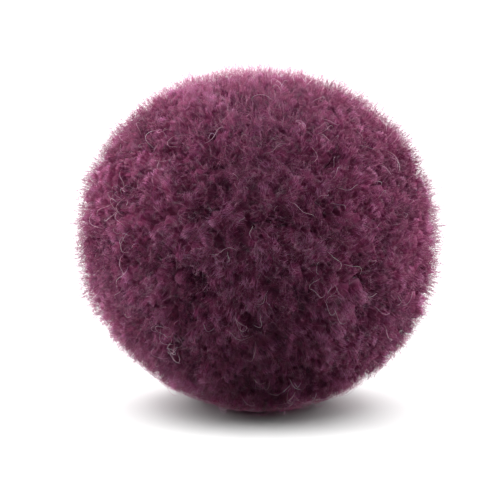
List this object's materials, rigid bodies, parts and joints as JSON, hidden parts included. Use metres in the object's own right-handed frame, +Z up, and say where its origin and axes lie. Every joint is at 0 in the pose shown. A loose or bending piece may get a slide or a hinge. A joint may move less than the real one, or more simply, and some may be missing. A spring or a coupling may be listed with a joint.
{
  "type": "plush pom-pom",
  "caption": "Round ball of cut wool yarn, trimmed even and fluffy all over, for trimming hats, cushions and garlands.",
  "frame": {"origin": "on the floor, under the middle of the ball's bounding box", "axes": "+Z up from the floor through the crown, -Y towards the viewer of the picture, +X to that viewer's right"},
  "size_m": [0.0506, 0.0506, 0.0472],
  "materials": {
    "wool": "fluffy matt wool, plum"
  },
  "bodies": {
    "root": {"yarn_ball": "wool"}
  },
  "joints": []
}
